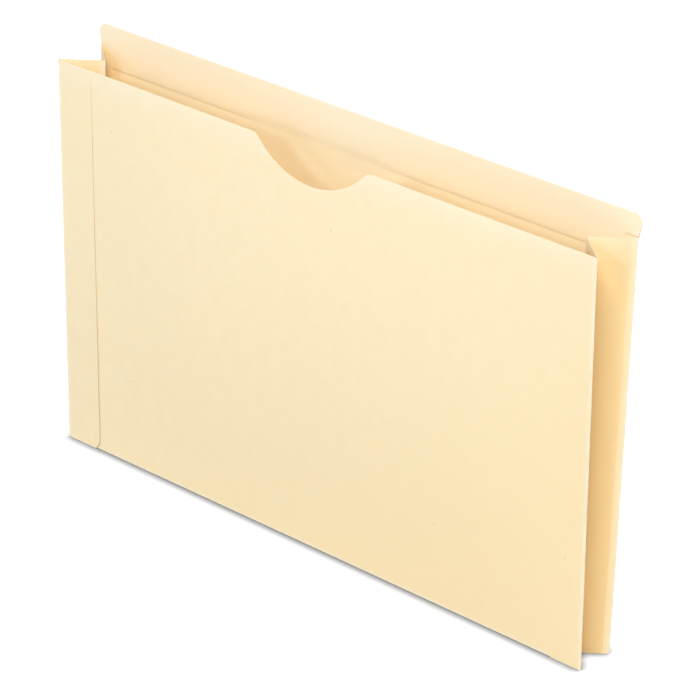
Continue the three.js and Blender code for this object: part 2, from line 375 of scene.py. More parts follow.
def board_noise(w, place, scale, detail, turn=(0, 0, 0), stretch=(1, 1, 1)):
    """Noise that can be turned and drawn out along one direction, for fibres."""
    mapping = w.node("ShaderNodeMapping")
    w.feed(mapping.inputs["Vector"], place)
    mapping.inputs["Rotation"].default_value = turn
    mapping.inputs["Scale"].default_value = stretch
    noise = w.node("ShaderNodeTexNoise")
    w.feed(noise.inputs["Vector"], mapping.outputs[0])
    noise.inputs["Scale"].default_value = scale
    noise.inputs["Detail"].default_value = detail
    return noise.outputs[0]


def manila(name, light, deep, shade_colour, roughness):
    material, w, shader, place = new_material(name)
    clouds = board_noise(w, place, CLOUD_SCALE, 4)
    fibres = [board_noise(w, place, FIBRE_SCALE, 3, turn=(0.0, angle, 0.3), stretch=(1, 1, 7))
              for angle in (0.2, 1.3, 2.4)]
    grain = board_noise(w, place, GRAIN_SCALE, 2)
    strands = w.math("MAXIMUM", w.math("MAXIMUM", fibres[0], fibres[1]), fibres[2])
    depth = w.math("ADD", w.mapped(clouds, 0.35, 0.65, 0.0, CLOUD_SHARE),
                   w.mapped(strands, 0.55, 0.78, 0.0, FIBRE_SHARE))
    depth = w.math("ADD", depth, w.mapped(grain, 0.3, 0.7, 0.0, GRAIN_SHARE), clamp=True)
    colour = w.mixed(depth, light, deep)
    spot = w.node("ShaderNodeSeparateXYZ")
    w.feed(spot.inputs[0], place)
    across, height = spot.outputs[0], spot.outputs[2]
    # painted shade: the colour gets deeper towards the lower right
    low_right = w.math("SUBTRACT", across, w.math("MULTIPLY", height, LOW_RIGHT_SHADE_SLOPE))
    low_right_shade = w.mapped(low_right, LOW_RIGHT_SHADE_FROM, LOW_RIGHT_SHADE_TO, 0.0, LOW_RIGHT_SHADE_MOST, smooth=True)
    colour = w.mixed(low_right_shade, colour, shade_colour)
    # painted light: the colour gets paler along the top
    top_light = w.mapped(height, TOP_LIGHT_FROM, TOP_LIGHT_TO, 0.0, TOP_LIGHT_MOST, smooth=True)
    colour = w.mixed(top_light, colour, BUFF_PAINTED_LIGHT)
    edge = w.node("ShaderNodeAttribute", attribute_name="edge").outputs["Fac"]
    # edge wear, which on the creases is also a painted highlight
    worn_and_highlight = w.math("MULTIPLY", edge, w.mapped(clouds, 0.3, 0.6, 0.35, 1.0))
    colour = w.mixed(worn_and_highlight, colour, BUFF_SCUFFED_AND_HIGHLIGHT)
    colour = w.mixed(specks(w, place), colour, BARK)
    cut = w.node("ShaderNodeAttribute", attribute_name="cut").outputs["Fac"]
    colour = w.mixed(w.math("MULTIPLY", cut, w.mapped(grain, 0.3, 0.7, 0.75, 1.0)), colour, CORE)
    w.feed(shader.inputs["Base Color"], colour)
    smooth = w.mapped(clouds, 0.3, 0.7, roughness - 0.05, roughness + 0.07)
    w.feed(shader.inputs["Roughness"], w.math("ADD", smooth, w.math("MULTIPLY", cut, 0.25)))
    shader.inputs["Specular IOR Level"].default_value = 0.30
    bump = w.node("ShaderNodeBump")
    bump.inputs["Strength"].default_value = 0.35
    bump.inputs["Distance"].default_value = 0.03 * MM
    relief = w.math("ADD", w.math("MULTIPLY", strands, 0.7), grain)
    w.feed(bump.inputs["Height"], relief)
    w.feed(shader.inputs["Normal"], bump.outputs[0])
    return material


def specks(w, place):
    """A few dark dots of bark, half a millimetre across and some 14 cm from each other."""
    spot = w.node("ShaderNodeSeparateXYZ")
    w.feed(spot.inputs[0], place)
    sheet = w.node("ShaderNodeCombineXYZ")
    aside = w.math("MULTIPLY", spot.outputs[1], 1.3)
    w.feed(sheet.inputs[0], w.math("ADD", spot.outputs[0], aside))
    w.feed(sheet.inputs[1], spot.outputs[2])
    cells = w.node("ShaderNodeTexVoronoi", voronoi_dimensions="2D")
    w.feed(cells.inputs["Vector"], sheet.outputs[0])
    cells.inputs["Scale"].default_value = SPECK_CELLS
    dot = w.mapped(cells.outputs["Distance"], SPECK_CORE, SPECK_RIM, 1.0, 0.0)
    chosen = w.node("ShaderNodeSeparateColor")
    w.feed(chosen.inputs[0], cells.outputs["Color"])
    some = w.math("GREATER_THAN", chosen.outputs[0], SPECK_RARE)
    return w.math("MULTIPLY", w.math("MULTIPLY", dot, some), SPECK_DARK)


outside_manila = manila("manila_outside", BUFF, BUFF_DEEP, BUFF_PAINTED_SHADE, 0.58)
# the gussets' material, whose deeper colours are painted shade
shaded_gusset_manila = manila("manila_gusset", GUSSET_SHADED_BUFF, GUSSET_SHADED_DEEP, GUSSET_PAINTED_SHADE, 0.60)
print("materials:", outside_manila.name, shaded_gusset_manila.name)

# %% Glue film material
AMBER = (0.72, 0.60, 0.38)
AMBER_PALE = (0.80, 0.70, 0.50)
STREAK_SCALE = 260


def dried_glue():
    """Dried paste: a thin amber film that is a little shinier than the board."""
    material, w, shader, place = new_material("dried_glue")
    streaks = board_noise(w, place, STREAK_SCALE, 3, stretch=(1, 1, 6))
    tone = w.mixed(w.mapped(streaks, 0.35, 0.65, 0.0, 1.0), AMBER, AMBER_PALE)
    w.feed(shader.inputs["Base Color"], tone)
    w.feed(shader.inputs["Roughness"], w.mapped(streaks, 0.3, 0.7, 0.25, 0.40))
    return material


glue = dried_glue()
print("material:", glue.name)

# %% [markdown]
# ## From a flat lattice to a board
# Every board starts as a lattice: rows and columns of points on its outer face. Its outline is
# made by letting the columns end on the notch, or the rows end on a rounded corner. A Geometry
# Nodes tree then does to each lattice what is the same for all: it lets the board sag a little
# where nothing holds it, and gives it the thickness of the real board.

# %% Lattices
CUT_WEAR = 1.2 * MM  # how far the scuffing reaches in from a cut edge
NARROW_WEAR = 0.8 * MM  # the same on flaps and gussets


def lines(low, high, step, fine=(0.5, 1.2, 2.5)):
    """Values from low to high about a step apart, closer together near both ends."""
    near = [value * MM for value in fine]
    count = max(2, round((high - low - 2 * near[-1]) / step) + 1)
    middle = np.linspace(low + near[-1], high - near[-1], count)
    return np.unique(np.round([low, *[low + n for n in near[:-1]], *middle,
                               *[high - n for n in near[:-1]], high], 8))


def lattice(name, points, edge, slack):
    """A one sided mesh of rows and columns, with its edge wear and its slack on the points."""
    points = np.asarray(points, float)
    rows, columns, _ = points.shape
    faces = [
        (corner, corner + 1, corner + columns + 1, corner + columns)
        for row in range(rows - 1)
        for corner in range(row * columns, (row + 1) * columns - 1)
    ]
    mesh = bpy.data.meshes.new(name)
    mesh.from_pydata(points.reshape(-1, 3).tolist(), [], faces)
    for label, values in (("edge", edge), ("slack", slack)):
        attribute = mesh.attributes.new(label, "FLOAT", "POINT")
        attribute.data.foreach_set("value", np.asarray(values, np.float32).ravel())
    return put_in_scene(name, mesh)


def wear(distance, reach=CUT_WEAR):
    """Edge wear along a cut: strongest on the edge, fading to 0 within reach of it."""
    return 0.35 * np.clip(1 - np.asarray(distance) / reach, 0, 1)


def held(distance, free=45 * MM):
    """Slack: 0 where the board is creased or glued, growing to 1 well away from there."""
    share = np.clip(np.asarray(distance) / free, 0, 1)
    return share * share * (3 - 2 * share)


# %% Geometry Nodes tree that thickens a board


def new_tree(name, sizes, has_input=True):
    tree = bpy.data.node_groups.new(name, "GeometryNodeTree")
    if has_input:
        tree.interface.new_socket("Geometry", in_out="INPUT", socket_type="NodeSocketGeometry")
    for label, kind, value in sizes:
        socket = tree.interface.new_socket(label, in_out="INPUT", socket_type=f"NodeSocket{kind}")
        if value is not None:
            socket.default_value = value
    tree.interface.new_socket("Geometry", in_out="OUTPUT", socket_type="NodeSocketGeometry")
    return tree


def board_tree():
    tree = new_tree("board", [
        ("Thickness", "Float", BOARD), ("Wave Height", "Float", 0.0), ("Wave Size", "Float", 0.20),
        ("Seed", "Float", 1.0), ("Material", "Material", None),
    ])
    w = Wiring(tree)
    given = w.node("NodeGroupInput").outputs
    slack = w.node("GeometryNodeInputNamedAttribute", data_type="FLOAT")
    slack.inputs["Name"].default_value = "slack"
    noise = w.node("ShaderNodeTexNoise", noise_dimensions="4D")
    w.feed(noise.inputs["W"], given["Seed"])
    w.feed(noise.inputs["Scale"], w.math("DIVIDE", 1.0, given["Wave Size"]))
    noise.inputs["Detail"].default_value = 1.0
    swell = w.math("MULTIPLY", w.math("SUBTRACT", noise.outputs[0], 0.5), given["Wave Height"])
    swell = w.math("MULTIPLY", swell, slack.outputs["Attribute"])
    outward = w.node("GeometryNodeInputNormal").outputs[0]
    push = w.node("ShaderNodeVectorMath", operation="SCALE")
    w.feed(push.inputs[0], outward)
    w.feed(push.inputs["Scale"], swell)
    waved = w.node("GeometryNodeSetPosition")
    w.feed(waved.inputs["Geometry"], given["Geometry"])
    w.feed(waved.inputs["Offset"], push.outputs[0])
    inward = w.node("ShaderNodeVectorMath", operation="SCALE")
    w.feed(inward.inputs[0], w.node("GeometryNodeInputNormal").outputs[0])
    w.feed(inward.inputs["Scale"], w.math("MULTIPLY", given["Thickness"], -1.0))
    pushed = w.node("GeometryNodeExtrudeMesh")
    pushed.inputs["Individual"].default_value = False
    w.feed(pushed.inputs["Mesh"], waved.outputs[0])
    w.feed(pushed.inputs["Offset"], inward.outputs[0])
    pushed.inputs["Offset Scale"].default_value = 1.0
    marked = w.node("GeometryNodeStoreNamedAttribute", data_type="FLOAT", domain="FACE")
    marked.inputs["Name"].default_value = "cut"
    w.feed(marked.inputs["Value"], pushed.outputs["Side"])
    w.feed(marked.inputs["Geometry"], pushed.outputs["Mesh"])
    turned_over = w.node("GeometryNodeFlipFaces")
    w.feed(turned_over.inputs[0], marked.outputs[0])
    joined = w.node("GeometryNodeJoinGeometry")
    w.tree.links.new(waved.outputs[0], joined.inputs[0])
    w.tree.links.new(turned_over.outputs[0], joined.inputs[0])
    welded = w.node("GeometryNodeMergeByDistance")
    welded.inputs["Distance"].default_value = 0.004 * MM
    w.feed(welded.inputs["Geometry"], joined.outputs[0])
    real = w.node("GeometryNodeRealizeInstances")
    w.feed(real.inputs[0], welded.outputs[0])
    painted = w.node("GeometryNodeSetMaterial")
    w.feed(painted.inputs["Geometry"], real.outputs[0])
    w.feed(painted.inputs["Material"], given["Material"])
    w.tree.links.new(painted.outputs[0], w.node("NodeGroupOutput").inputs[0])
    return tree


BOARD_TREE = board_tree()

# %% Run a tree on a piece and keep its result as a plain mesh
SHARP_ANGLE = math.radians(35)


def run_tree(piece, tree, **values):
    """Applies a tree with its named sizes, and marks the sharp edges of the result."""
    modifier = piece.modifiers.new(tree.name, "NODES")
    modifier.node_group = tree
    wanted = {label.replace("_", " ").lower(): value for label, value in values.items()}
    for item in tree.interface.items_tree:
        if item.in_out == "INPUT" and item.name.lower() in wanted:
            modifier[item.identifier] = wanted[item.name.lower()]
    bpy.context.view_layer.update()
    solved = piece.evaluated_get(bpy.context.evaluated_depsgraph_get())
    mesh = bpy.data.meshes.new_from_object(solved)
    piece.modifiers.remove(modifier)
    piece.data = mesh
    mesh.name = piece.name
    mesh.shade_smooth()
    mesh.set_sharp_from_angle(angle=SHARP_ANGLE)
    print(f"{piece.name}: {len(mesh.polygons)} faces")
    return piece


# %% [markdown]
# ## Creases
# A crease in board is a tight roll with a flat wing on each side. Across it, the outer face is an
# arc that runs on into two straight lines, and one formula gives all three: the turn grows with
# the distance along the board until it reaches half of the fold, then it stays. The tree below
# lays a grid on that rule, so one tree makes every crease, whatever its angle and length.

# %% Geometry Nodes tree of a crease
CREASE_COLUMNS = 29
ARC_SHARE = 0.715  # share of the columns that lie on the arc, the others are on the wings
# the paler scuffed strip along a crease, which is also a painted highlight of the roll
SCUFF_HIGHLIGHT_FROM, SCUFF_HIGHLIGHT_TO, SCUFF_HIGHLIGHT_MOST = 0.55, 0.97, 0.9  # shares of the way out from the middle


def crease_tree():
    tree = new_tree("crease", [
        ("Turn", "Float", 2.0), ("Radius", "Float", PANEL_ROLL), ("First Wing", "Float", WING),
        ("Last Wing", "Float", WING), ("Rows", "Int", 24), ("Thickness", "Float", BOARD),
        ("Material", "Material", None),
    ])
    w = Wiring(tree)
    given = w.node("NodeGroupInput").outputs
    grid = w.node("GeometryNodeMeshGrid")
    grid.inputs["Size X"].default_value = 2.0
    grid.inputs["Size Y"].default_value = 1.0
    grid.inputs["Vertices X"].default_value = CREASE_COLUMNS
    w.feed(grid.inputs["Vertices Y"], given["Rows"])
    spot = w.node("ShaderNodeSeparateXYZ")
    w.feed(spot.inputs[0], w.node("GeometryNodeInputPosition").outputs[0])
    across, side = w.math("ABSOLUTE", spot.outputs[0]), w.math("SIGN", spot.outputs[0])
    arc = w.math("MULTIPLY", w.math("MULTIPLY", given["Turn"], 0.5), given["Radius"])
    is_last = w.math("GREATER_THAN", spot.outputs[0], 0.0)
    wing = w.math("ADD", w.math("MULTIPLY", is_last, given["Last Wing"]),
                  w.math("MULTIPLY", w.math("SUBTRACT", 1.0, is_last), given["First Wing"]))
    on_arc = w.mapped(across, 0.0, ARC_SHARE, 0.0, arc)
    on_wing = w.mapped(across, ARC_SHARE, 1.0, 0.0, wing)
    turn = w.math("MULTIPLY", w.math("DIVIDE", on_arc, given["Radius"]), side)
    beyond = w.math("MULTIPLY", on_wing, side)
    sine, cosine = w.math("SINE", turn), w.math("COSINE", turn)
    along_x = w.math("MULTIPLY", given["Radius"], sine)
    along_x = w.math("ADD", along_x, w.math("MULTIPLY", beyond, cosine))
    lift = w.math("MULTIPLY", given["Radius"], w.math("SUBTRACT", 1.0, cosine))
    along_y = w.math("ADD", lift, w.math("MULTIPLY", beyond, sine))
    rolled = w.node("ShaderNodeCombineXYZ")
    w.feed(rolled.inputs[0], along_x)
    w.feed(rolled.inputs[1], along_y)
    w.feed(rolled.inputs[2], w.math("ADD", spot.outputs[1], 0.5))
    marked = w.node("GeometryNodeStoreNamedAttribute", data_type="FLOAT", domain="POINT")
    marked.inputs["Name"].default_value = "edge"
    # scuff and painted highlight, strongest on the roll
    scuff_and_highlight = w.mapped(across, SCUFF_HIGHLIGHT_FROM, SCUFF_HIGHLIGHT_TO, SCUFF_HIGHLIGHT_MOST, 0.0, smooth=True)
    w.feed(marked.inputs["Value"], scuff_and_highlight)
    w.feed(marked.inputs["Geometry"], grid.outputs["Mesh"])
    shaped = w.node("GeometryNodeSetPosition")
    w.feed(shaped.inputs["Geometry"], marked.outputs[0])
    w.feed(shaped.inputs["Position"], rolled.outputs[0])
    solid = w.node("GeometryNodeGroup", node_tree=BOARD_TREE)
    w.feed(solid.inputs["Geometry"], shaped.outputs[0])
    w.feed(solid.inputs["Thickness"], given["Thickness"])
    w.feed(solid.inputs["Material"], given["Material"])
    w.tree.links.new(solid.outputs[0], w.node("NodeGroupOutput").inputs[0])
    return tree


CREASE_TREE = crease_tree()
print("trees:", BOARD_TREE.name, CREASE_TREE.name)

# %% [markdown]
# ## Where the boards lie
# A crease is where the concave faces of two boards meet, and a board lies between two creases.
# From two crease lines follows the plane of the board between them, and from that plane the
# direction in which the board leaves each crease. Nothing is placed by eye.

# %% Creases and normals
OPENING = math.asin(BACK_UP.y)
BOTTOM_FRONT_HEIGHT = (BACK_FOOT.y - FRONT_Y) * math.tan(OPENING / 2)
SIDES = {"right": 1, "left": -1}


def mirrored(vector):
    return Vector((-vector.x, vector.y, vector.z))


creases = {name: crease_line(name) for name in joints}
creases["left_front_seam"] = (mirrored(FRONT_FOOT), Z)
creases["bottom_front_crease"] = (Vector((0, FRONT_Y, BOTTOM_FRONT_HEIGHT)), X)
for name, (point, direction) in creases.items():
    if direction.dot(X + Z) < 0:
        creases[name] = (point, -direction)


def board_normal(first, second, hint):
    """Outward normal of a board whose inner face holds the first crease and outer face the next."""
    axis = first[1]
    gap = second[0] - first[0]
    gap = gap - axis * gap.dot(axis)
    lean = BOARD / gap.length
    along, aside = gap.normalized(), axis.cross(gap.normalized())
    choices = [along * lean + aside * sign * math.sqrt(1 - lean * lean) for sign in (1, -1)]
    return max(choices, key=lambda normal: normal.dot(hint))


def leaving(crease, normal, toward):
    """Direction in which a board leaves a crease, square to the crease."""
    way = crease[1].cross(normal).normalized()
    return way if way.dot(toward) > 0 else -way


def crease_of(word, place):
    """The back, middle or front crease of the right, left or bottom gusset."""
    kind = "seam" if (word, place) == ("left", "front") else "crease"
    return creases[f"{word}_{place}_{kind}"]


normals = {}
for word, hint in (("right", X), ("left", -X), ("bottom", -Z)):
    for half, place, tilt in (("rear", "back", -Y), ("front", "front", Y)):
        outer, middle = crease_of(word, place), crease_of(word, "middle")
        normals[word, half] = board_normal(outer, middle, hint + tilt)
for key, normal in normals.items():
    print(key, [round(value, 4) for value in normal])

# %% [markdown]
# ## Rolled creases
# Each crease gets its own roll between the two boards. Its wings lie exactly in their planes, so
# the joint between a wing and its board doesn't show. The left seam and the bottom seam are wider
# rolls: there, the board wraps around the edge of a panel and is glued down as a flap on its
# outside.

# %% Place a roll between two boards


def make_crease(name, corner, axis, ends, first, last, material, radius=PANEL_ROLL,
                wings=(WING, WING), rows=24):
    """A roll along an axis. first and last are the directions in which its two boards leave it."""
    piece = put_in_scene(name, bpy.data.meshes.new(name))
    angle = first.angle(last)
    run_tree(piece, CREASE_TREE, turn=math.pi - angle, radius=radius, first_wing=wings[0],
             last_wing=wings[1], rows=rows, thickness=BOARD, material=material)
    inward, across = (first + last).normalized(), (last - first).normalized()
    shift = (radius - BOARD) / math.sin(angle / 2) - radius
    main = max(range(3), key=lambda i: abs(axis[i]))
    for vertex in piece.data.vertices:
        local = vertex.co.copy()
        place = corner + across * local.x + inward * (shift + local.y)
        low, high = ends(math.copysign(math.hypot(local.x, local.y), local.x))
        wanted = low + (high - low) * local.z
        vertex.co = place + axis * ((wanted - place[main]) / axis[main])
    turn_outside_out(piece)
    return piece


def turn_outside_out(piece):
    """Turns a closed mesh the right way out if placing it has mirrored it."""
    mesh = piece.data
    mesh.calc_loop_triangles()
    corners = np.zeros(3 * len(mesh.vertices))
    mesh.vertices.foreach_get("co", corners)
    corners = corners.reshape(-1, 3)
    ring = np.array([triangle.vertices[:] for triangle in mesh.loop_triangles])
    a, b, c = (corners[ring[:, i]] for i in range(3))
    volume = np.einsum("ij,ij->i", a, np.cross(b, c)).sum() / 6
    if volume < 0:
        mesh.flip_normals()
    print(f"{piece.name}: {abs(volume) / MM ** 3:.0f} cubic millimetres")


def reach(first, last, radius=PANEL_ROLL, wing=WING):
    """How far a roll and its wing run from the corner of two boards."""
    return (radius - BOARD) / math.tan(first.angle(last) / 2) + wing


# %% Rolls of the side gussets


def whole_height(_):
    return 0.0, FRONT_HEIGHT


def bend_between(piece):
    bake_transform(piece)


def side_rolls(word):
    side = SIDES[word]
    back, middle = crease_of(word, "back"), crease_of(word, "middle")
    rear, front = normals[word, "rear"], normals[word, "front"]
    rolls = {
        "back": (back, "back", f"{word}_rear_half",
                 leaving(back, BACK_OUT, -X * side), leaving(back, rear, -X * side)),
        "middle": (middle, f"{word}_rear_half", f"{word}_front_half",
                   leaving(middle, rear, X * side), leaving(middle, front, X * side)),
    }
    if word == "right":
        crease = crease_of(word, "front")
        rolls["front"] = (crease, "front", f"{word}_front_half",
                          leaving(crease, Y, -X * side), leaving(crease, front, -X * side))
    for place, (crease, first_body, last_body, first, last) in rolls.items():
        point, axis = crease
        piece = make_crease(f"{word}_{place}_roll", at_height(crease, 0), axis, whole_height,
                            first, last, outside_manila)
        bend_between(piece)
    return {place: roll[3:] for place, roll in rolls.items()}


SIDE_WAYS = {word: side_rolls(word) for word in SIDES}
SIDE_REACH = reach(*SIDE_WAYS["right"]["back"])
MIDDLE_REACH = reach(*SIDE_WAYS["right"]["middle"])

# %% The left seam: the front gusset board wraps around the front panel's edge
SHORT_WING = 0.3 * MM  # on the side that is a hinge without a joint of its own
SEAM_RISE = 0.11 * MM  # lifts the bottom seam's wide roll just clear of the table
FLAP_LIFT = BOARD + GLUE


def wrapped_corner(crease, first, last):
    """Where the inner faces of a glued flap and of the board that wraps around to it meet."""
    return crease[0] - last * (FLAP_LIFT / math.sin(first.angle(last)))


def left_seam():
    crease = creases["left_front_seam"]
    first, last = X, leaving(crease, normals["left", "front"], X)
    corner = wrapped_corner(crease, first, last)
    piece = make_crease("left_seam_roll", corner, Z, whole_height, first, last, outside_manila,
                        radius=SEAM_ROLL, wings=(WING, SHORT_WING))
    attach(piece, "front")
    return corner, first, last


SEAM_CORNER, *SEAM_WAYS = left_seam()

# %% Rolls of the bottom gusset
CORNER_GAP = 8 * MM  # by which it ends short of the side gussets
BOTTOM_HALF = HALF_WIDTH - CORNER_GAP  # half length of the bottom gusset at its outer creases
BOTTOM_FRONT_WING = 3.5 * MM  # how far the front roll runs up the bottom gusset
FLOOR_GAP = 0.03 * MM
FRONT_ROLL_HALF = HALF_WIDTH - 19.5 * MM  # the folded side gussets pass beside the front roll


def mitred(along):
    """Ends of a roll at an outer crease: the gusset's board is mitred, the panel's isn't."""
    half = BOTTOM_HALF - max(0.0, along)
    return -half, half


def short_of_gussets(_):
    return -FRONT_ROLL_HALF, FRONT_ROLL_HALF


def mitred_middle(along):
    half = BOTTOM_HALF - BOTTOM_WIDTH + abs(along)
    return -half, half


half_gusset = (creases["bottom_middle_crease"][0] - creases["bottom_back_crease"][0]).yz
BOTTOM_WIDTH = math.sqrt(half_gusset.length_squared - BOARD ** 2)


def bottom_rolls():
    back, middle, front = (crease_of("bottom", place) for place in ("back", "middle", "front"))
    rear, fore = normals["bottom", "rear"], normals["bottom", "front"]
    first, last = leaving(middle, rear, -Z), leaving(middle, fore, -Z)
    piece = make_crease("bottom_middle_roll", Vector((0, *middle[0].yz)), X, mitred_middle,
                        first, last, shaded_gusset_manila)
    bend_between(piece)
    first, last = leaving(front, Y, Z), leaving(front, fore, Z)
    low = Vector((0, FRONT_Y, 0))
    drop = (PANEL_ROLL - BOARD) / math.sin(first.angle(last) / 2) - PANEL_ROLL
    low.z = FLOOR_GAP - drop * math.cos(first.angle(last) / 2)
    meet = Vector((0, *front[0].yz)) + last * BOTTOM_FRONT_WING
    inward = (meet - low).normalized()
    wing = (meet - low).length - reach(first, last, wing=0)
    piece = make_crease("bottom_front_roll", low, X, short_of_gussets, first, inward,
                        outside_manila, wings=(WING, wing))
    roll_top = low.z + reach(first, inward)
    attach(piece, "front")
    first, last = BACK_UP, leaving(back, rear, Z)
    corner = Vector((0, *wrapped_corner(back, first, last).yz)) + Z * SEAM_RISE
    piece = make_crease("bottom_seam_roll", corner, X, mitred, first, last, outside_manila,
                        radius=SEAM_ROLL)
    bend_between(piece)
    return roll_top, corner, first, last


ROLL_TOP, BOTTOM_CORNER, *BOTTOM_WAYS = bottom_rolls()

# %% [markdown]
# ## Front panel
# The front panel is the board that faces the camera: a rectangle with a thumb notch cut into its
# top edge, so that the papers can be gripped. Its columns run from the bottom crease up to the
# outline, and they stand closer together in the notch. The notch is one arc of 50 mm radius that
# runs out into the straight edge over two small shoulders.

# %% Front panel
NOTCH_RADIUS = 50 * MM
NOTCH_DEPTH = 18.7 * MM
NOTCH_SHOULDER = 7 * MM
SEAM_EDGE = -HALF_WIDTH + 0.7 * MM  # the panel's left edge lies inside the seam's roll
FRONT_RIGHT = HALF_WIDTH - SIDE_REACH
FRONT_BOW = 2.0 * MM
BOW_EASE = 80 * MM  # how far in from each side the bow reaches its full depth
NOTCH_COLUMNS = np.arange(-48, 48.1, 0.75) * MM


def notch_height(x):
    """Height of the front panel's top edge at x."""
    centre = FRONT_HEIGHT + NOTCH_RADIUS - NOTCH_DEPTH
    shoulder = FRONT_HEIGHT - NOTCH_SHOULDER
    across = math.sqrt((NOTCH_RADIUS + NOTCH_SHOULDER) ** 2 - (centre - shoulder) ** 2)
    meet = across * NOTCH_RADIUS / (NOTCH_RADIUS + NOTCH_SHOULDER)
    x = abs(x)
    if x >= across:
        return FRONT_HEIGHT
    if x > meet:
        return shoulder + math.sqrt(NOTCH_SHOULDER ** 2 - (across - x) ** 2)
    return centre - math.sqrt(NOTCH_RADIUS ** 2 - x * x)


PANEL_WAVE = 1.2 * MM
GUSSET_WAVE = 0.9 * MM


def with_steps(values, steps, room=0.3 * MM):
    """Adds a close pair of values at each step of an outline."""
    kept = [v for v in values if all(abs(v - s) > room for s in steps)]
    return np.unique(np.round(kept + [s + d for s in steps for d in (-0.05 * MM, 0.05 * MM)], 8))


def board_piece(name, body, points, facing, edge, slack, material,
                node, wave=0.0, seed=1.0):
    """Makes a lattice into a board that rides on a body and stands for its CAD node."""
    piece = lattice(name, points, edge, slack)
    if sum((face.normal * face.area for face in piece.data.polygons), Vector()).dot(facing) < 0:
        piece.data.flip_normals()
    run_tree(piece, BOARD_TREE, wave_height=wave, seed=seed, material=material)
    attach(piece, body)
    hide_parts(node)


def bow(x, height):
    """How far the front panel bellies out, away from its creases and its glued flap."""
    across = held(x - SEAM_EDGE - SIDE_FLAP_WIDTH, BOW_EASE) * held(FRONT_RIGHT - x, BOW_EASE)
    return FRONT_BOW * across * math.sin(math.pi * min(1.0, height / FRONT_HEIGHT))


def front_panel():
    columns = np.concatenate([lines(SEAM_EDGE, FRONT_RIGHT, 6 * MM), NOTCH_COLUMNS])
    columns = with_steps(np.unique(np.round(columns, 8)), (-FRONT_ROLL_HALF, FRONT_ROLL_HALF))
    rise = [0, 0.002, 0.006, 0.012, *np.linspace(0.03, 0.97, 34), 0.985, 0.994, 0.998, 1]
    points, edge, slack = [], [], []
    for share in rise:
        for x in columns:
            top = notch_height(x)
            low = ROLL_TOP if abs(x) < FRONT_ROLL_HALF else 0.0
            z = low + (top - low) * share
            points.append((x, FRONT_Y - BOARD - bow(x, z), z))
            edge.append(wear(top - z))
            slack.append(held(x - SEAM_EDGE - SIDE_FLAP_WIDTH) * held(FRONT_RIGHT - x) * held(z))
    shape = (len(rise), len(columns), 3)
    board_piece("front_panel_board", "front", np.reshape(points, shape), -Y, edge, slack,
                outside_manila, wave=PANEL_WAVE, seed=3.0, node="front_panel")


front_panel()

# %% [markdown]
# ## Seam flap
# The left gusset ends in a flap, glued onto the outside of the front panel. Its free edge is a
# second cut edge down the front. It isn't stuck right up to the edge, so it stands off by a few
# tenths of a millimetre and throws a thin shadow. Both ends are cut back, so that no corner of it
# stands past the panel.

# %% Left glue flap
FLAP_TAPER = (3 * MM, 5 * MM)  # length and depth of the cut at each end
FLAP_FREE_LIFT = 0.40 * MM
SIDE_LOOSE, BOTTOM_LOOSE = 5 * MM, 6 * MM  # widths of the strips that the paste doesn't hold


def cut_back(distance):
    """How far the end of a flap is cut back, at a distance from its free edge."""
    length, depth = FLAP_TAPER
    return depth * max(0.0, (length - distance) / length)


def left_flap():
    start = SEAM_CORNER.x + reach(*SEAM_WAYS, radius=SEAM_ROLL)
    free = -HALF_WIDTH + SIDE_FLAP_WIDTH
    columns = lines(start, free, 1.5 * MM)
    rise = lines(0, FRONT_HEIGHT, 5 * MM) / FRONT_HEIGHT
    points, edge, slack = [], [], []
    for share in rise:
        for x in columns:
            cut = cut_back(free - x)
            z = cut + (FRONT_HEIGHT - 2 * cut) * share
            lift = FLAP_FREE_LIFT * held(x - free + SIDE_LOOSE, SIDE_LOOSE)
            lift *= 1.0 - z / FRONT_HEIGHT  # the paste holds better and better towards the top
            points.append((x, FRONT_Y - BOARD - FLAP_LIFT - lift, z))
            edge.append(wear(min(free - x, z - cut, FRONT_HEIGHT - cut - z), NARROW_WEAR))
            slack.append(0.0)
    shape = (len(rise), len(columns), 3)
    board_piece("left_flap_board", "front", np.reshape(points, shape), -Y, edge, slack,
                outside_manila, node="left_glue_flap")


left_flap()

# %% [markdown]
# ## Back panel and tab
# The back panel leans back a little, because the gussets are wider at the top than at the foot.
# It stands above the front panel as a tab. There the board is folded over once, down the inside,
# which makes the tab two plies thick: the roll along its top is as tight as board can be folded.
# Its corners were rounded after folding, so they are cut edges.

# %% Back panel, tab ply and the roll that joins them
BACK_HEIGHT = 241.3 * MM
TAB_CORNER = 5.5 * MM
TAB_OVERHANG = 1.2 * MM  # by which the tab is wider than the panel, at each side
PLY_HEIGHT = 24.5 * MM
PLY_SIDE_INSET = 8 * MM  # where the ply hangs down behind the gussets
PLY_SHELF = 0.8 * MM  # height above the front panel at which it gets wide
TAB_ROLL = BOARD + 0.5 * GLUE
TAB_WING = 0.6 * MM
TAB_HALF = HALF_WIDTH + TAB_OVERHANG
BACK_ORIGIN = Vector((0, BACK_FOOT.y, 0))
ROLLS_END = FRONT_HEIGHT / BACK_UP.z  # height along the leaning panel at which its side rolls end
CORNER_ROWS = BACK_HEIGHT - TAB_CORNER * np.array([1.0, 0.9, 0.75, 0.6, 0.45, 0.32, 0.22])
TAB_TOP = BACK_HEIGHT - TAB_ROLL - TAB_WING
PRESSED, PRESS_RISE = 0.12 * MM, 1.2 * MM  # depth and height to which the ply's foot is pressed in
THUMBED, THUMB_RISE = 0.14 * MM, 3.8 * MM  # what is added to them where thumbs go
THUMB_PLACE = -27 * MM
THUMB_OUTER, THUMB_EASE = 75 * MM, 45 * MM  # how far to its sides that reaches and fades


def on_back(x, height, outward):
    """A point of the back panel's plane: height is measured up along the leaning panel."""
    return BACK_ORIGIN + X * x + BACK_UP * height + BACK_OUT * outward


